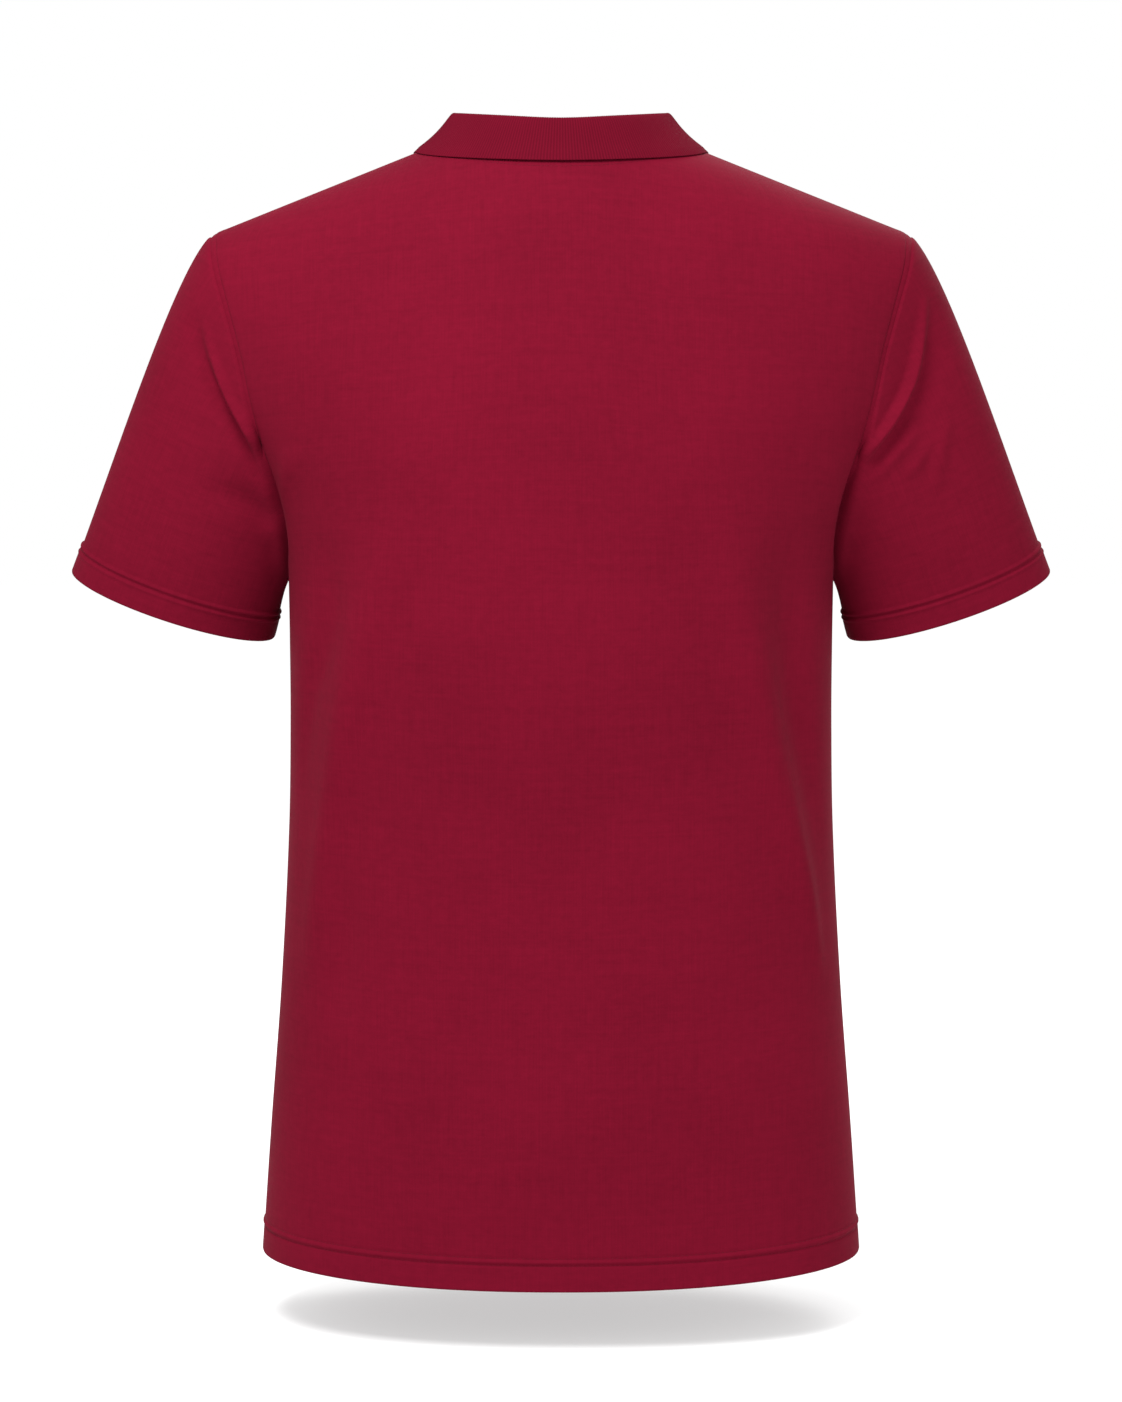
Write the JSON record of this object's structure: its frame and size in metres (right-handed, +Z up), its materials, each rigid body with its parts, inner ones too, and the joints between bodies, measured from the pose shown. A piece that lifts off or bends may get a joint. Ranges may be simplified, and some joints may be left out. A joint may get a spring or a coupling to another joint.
{
  "type": "polo shirt in worn hollow form",
  "caption": "Short-sleeved polo shirt in its worn, hollow form, with a ribbed fold-over collar, a buttoned placket, set-in sleeves and turned hems.",
  "frame": {"origin": "in the neck opening, level with the tops of the shoulders, where a wearer holds the shirt up", "axes": "+Z up the body, -Y out of the placket side, +Y out of the back, +X towards the wearer's left sleeve"},
  "size_m": [0.6256, 0.2438, 0.7305],
  "materials": {
    "cloth": "smooth fine knit in crimson",
    "rib": "flat-knit fine rib in crimson",
    "buttons": "satin, dyed to match"
  },
  "bodies": {
    "root": {"back": "cloth", "front": "cloth", "sleeve_left": "cloth", "sleeve_right": "cloth", "collar": "rib", "placket_over": "cloth", "placket_under": "cloth", "button_1": "buttons", "button_2": "buttons", "button_3": "buttons"}
  },
  "joints": []
}
